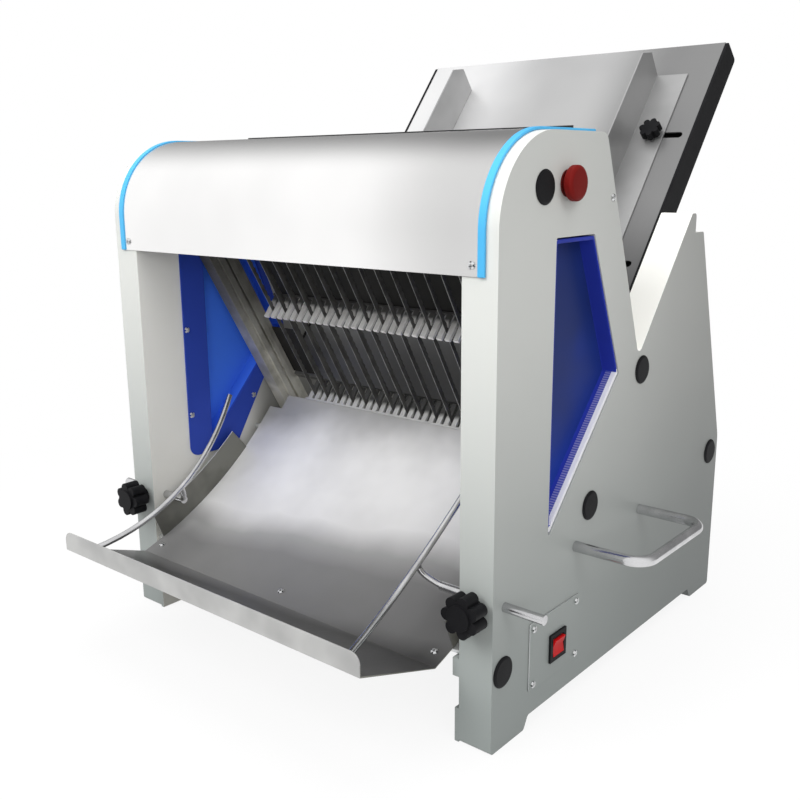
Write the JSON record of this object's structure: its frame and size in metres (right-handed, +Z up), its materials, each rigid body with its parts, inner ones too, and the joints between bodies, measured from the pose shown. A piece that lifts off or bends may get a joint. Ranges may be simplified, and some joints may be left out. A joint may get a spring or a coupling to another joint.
{
  "type": "bread slicer machine",
  "caption": "Table-top bread slicer: painted side panels, sloped infeed table, two opposed blade frames driven by eccentrics between combs, curved delivery tray and arched cover.",
  "frame": {"origin": "centre of the bounding box on the floor, under the feet", "axes": "+X to the machine's right as seen from the delivery tray, +Y from the tray towards the infeed table, +Z up"},
  "size_m": [0.754, 0.7588, 0.7326],
  "materials": {
    "panel_paint": "satin",
    "window_blue": "gloss",
    "stainless": "brushed",
    "trim_blue": "gloss",
    "dark_steel": "oiled",
    "blade_steel": "ground",
    "bright_steel": "polished",
    "black_plastic": "satin",
    "red_button": "satin",
    "red_rocker": "gloss",
    "drive_iron": "as cast",
    "belt_rubber": "matt"
  },
  "bodies": {
    "machine": {"left_side_panel": "panel_paint", "right_side_panel": "panel_paint", "left_window_panel": "window_blue", "right_window_panel": "window_blue", "panel_screws": "bright_steel", "top_cover": "stainless", "left_cover_trim": "trim_blue", "right_cover_trim": "trim_blue", "infeed_guard": "stainless", "delivery_tray": "stainless", "tray_cross_bar": "stainless", "tray_support_rod": "blade_steel", "lower_comb": "stainless", "upper_comb": "stainless", "comb_guard": "dark_steel", "infeed_table": "stainless", "left_table_edge": "black_plastic", "right_table_edge": "black_plastic", "left_slide_rail": "dark_steel", "right_slide_rail": "dark_steel", "top_tie_bar": "blade_steel", "rear_tie_bar": "blade_steel", "frame_bolts": "dark_steel", "hole_plugs": "black_plastic", "left_bearing_block": "drive_iron", "right_bearing_block": "drive_iron", "drive_belt": "belt_rubber", "motor": "drive_iron", "base_plate": "panel_paint", "front_guard": "panel_paint", "rear_cover": "panel_paint", "cable_gland": "black_plastic", "switch_plate": "stainless", "switch_bezel": "black_plastic", "emergency_stop_collar": "black_plastic", "left_carry_handle": "bright_steel", "right_carry_handle": "bright_steel"},
    "front_blade_set": {"front_blade_frame": "dark_steel", "front_blades": "blade_steel"},
    "rear_blade_set": {"rear_blade_frame": "dark_steel", "rear_blades": "blade_steel"},
    "crank": {"crankshaft": "blade_steel", "crank_pulley": "drive_iron"},
    "motor_rotor": {"motor_pulley": "drive_iron"},
    "front_rod_pair": {"front_rods": "dark_steel"},
    "rear_rod_pair": {"rear_rods": "dark_steel"},
    "left_guide": {"left_infeed_guide": "stainless", "left_guide_nut": "blade_steel"},
    "right_guide": {"right_infeed_guide": "stainless", "right_guide_nut": "blade_steel"},
    "left_guide_clamp": {"left_guide_knob": "black_plastic"},
    "right_guide_clamp": {"right_guide_knob": "black_plastic"},
    "left_rod": {"left_slice_rod": "bright_steel"},
    "right_rod": {"right_slice_rod": "bright_steel"},
    "left_star": {"left_star_knob": "black_plastic"},
    "right_star": {"right_star_knob": "black_plastic"},
    "rocker": {"rocker_switch": "red_rocker"},
    "stop_button": {"emergency_stop": "red_button"}
  },
  "joints": [
    {"name": "front_blade_stroke", "type": "slide", "parent": "machine", "child": "front_blade_set", "axis": [0, -0.5, 0.866], "range_m": [-0.018, 0.018]},
    {"name": "rear_blade_stroke", "type": "slide", "parent": "machine", "child": "rear_blade_set", "axis": [0, -0.5, 0.866], "range_m": [-0.018, 0.018]},
    {"name": "crank_turn", "type": "hinge", "parent": "machine", "child": "crank", "pos_m": [0, 0.08849, 0.09183], "axis": [1, 0, 0], "continuous": true},
    {"name": "motor_turn", "type": "hinge", "parent": "machine", "child": "motor_rotor", "pos_m": [0, 0.2205, 0.08118], "axis": [1, 0, 0], "continuous": true},
    {"name": "front_rod_swing", "type": "hinge", "parent": "crank", "child": "front_rod_pair", "pos_m": [0, 0.0729, 0.08283], "axis": [1, 0, 0], "continuous": true},
    {"name": "rear_rod_swing", "type": "hinge", "parent": "crank", "child": "rear_rod_pair", "pos_m": [0, 0.10408, 0.10083], "axis": [1, 0, 0], "continuous": true},
    {"name": "left_guide_slide", "type": "slide", "parent": "machine", "child": "left_guide", "axis": [-1, 0, 0], "range_m": [-0.03, 0.03]},
    {"name": "right_guide_slide", "type": "slide", "parent": "machine", "child": "right_guide", "axis": [1, 0, 0], "range_m": [-0.03, 0.03]},
    {"name": "left_guide_clamp_turn", "type": "hinge", "parent": "left_guide", "child": "left_guide_clamp", "pos_m": [-0.178, 0.25626, 0.61465], "axis": [0, -0.7793, 0.6266], "range_deg": [0, 270]},
    {"name": "right_guide_clamp_turn", "type": "hinge", "parent": "right_guide", "child": "right_guide_clamp", "pos_m": [0.19, 0.25626, 0.61465], "axis": [0, -0.7793, 0.6266], "range_deg": [0, 270]},
    {"name": "left_rod_slide", "type": "slide", "parent": "machine", "child": "left_rod", "axis": [-1, 0, 0], "range_m": [-0.04, 0.018]},
    {"name": "right_rod_slide", "type": "slide", "parent": "machine", "child": "right_rod", "axis": [1, 0, 0], "range_m": [-0.04, 0.018]},
    {"name": "left_star_turn", "type": "hinge", "parent": "machine", "child": "left_star", "pos_m": [-0.27, -0.24299, 0.155], "axis": [0, -1, 0], "range_deg": [0, 270]},
    {"name": "right_star_turn", "type": "hinge", "parent": "machine", "child": "right_star", "pos_m": [0.27, -0.24299, 0.155], "axis": [0, -1, 0], "range_deg": [0, 270]},
    {"name": "rocker_tip", "type": "hinge", "parent": "machine", "child": "rocker", "pos_m": [0.2889, -0.12349, 0.075], "axis": [0, 1, 0], "range_deg": [-12, 0]},
    {"name": "stop_press", "type": "slide", "parent": "machine", "child": "stop_button", "axis": [-1, 0, 0], "range_m": [0, 0.0035], "stiffness_N_per_m": 900}
  ],
  "couplings": [
    {"joint": "rear_blade_stroke", "follows": "front_blade_stroke", "ratio": -1},
    {"joint": "motor_turn", "follows": "crank_turn", "ratio": 2.6419},
    {"joint": "front_rod_swing", "follows": "crank_turn", "ratio": -1},
    {"joint": "rear_rod_swing", "follows": "crank_turn", "ratio": -1}
  ]
}
